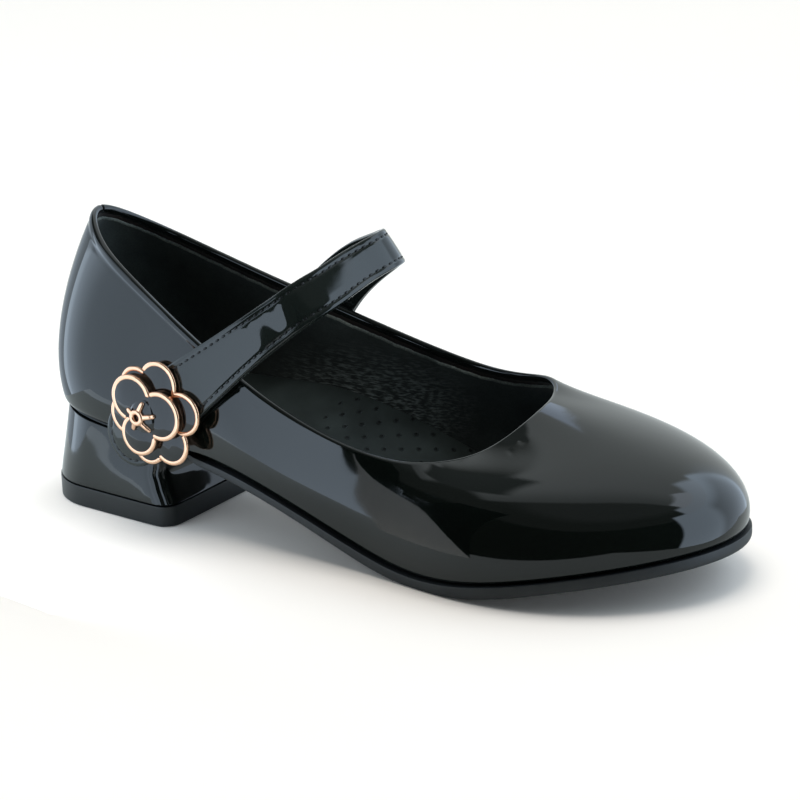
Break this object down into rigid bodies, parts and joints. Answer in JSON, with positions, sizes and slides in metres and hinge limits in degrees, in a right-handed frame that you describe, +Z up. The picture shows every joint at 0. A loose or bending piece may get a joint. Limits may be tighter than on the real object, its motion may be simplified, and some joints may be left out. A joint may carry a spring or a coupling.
{
  "type": "ballet pump",
  "caption": "Glossy low-heeled ballet pump with an instep strap, a flower ornament on the strap tab and a block heel, right foot.",
  "frame": {"origin": "on the floor under the middle of the shoe's length and width", "axes": "+X from the heel to the toe, +Y to the big-toe side (the wearer's left, as this is a right shoe), +Z up"},
  "size_m": [0.2192, 0.0754, 0.0812],
  "materials": {
    "patent_leather": "black patent, mirror-like clear coat",
    "heel_patent": "black patent wrapped round the heel block",
    "lining_leather": "matte black, fine grain",
    "sole_rubber": "matte black, fine texture",
    "lift_rubber": "satin black",
    "ornament_metal": "polished, pale rose gold plate",
    "ornament_enamel": "black enamel, glossy"
  },
  "bodies": {
    "root": {"upper": "patent_leather", "insole": "lining_leather", "outsole": "sole_rubber", "heel_block": "heel_patent", "heel_lift": "lift_rubber", "strap": "patent_leather", "flower_outer_petals": "ornament_metal", "flower_inner_petals": "ornament_enamel", "flower_boss": "ornament_metal"}
  },
  "joints": []
}
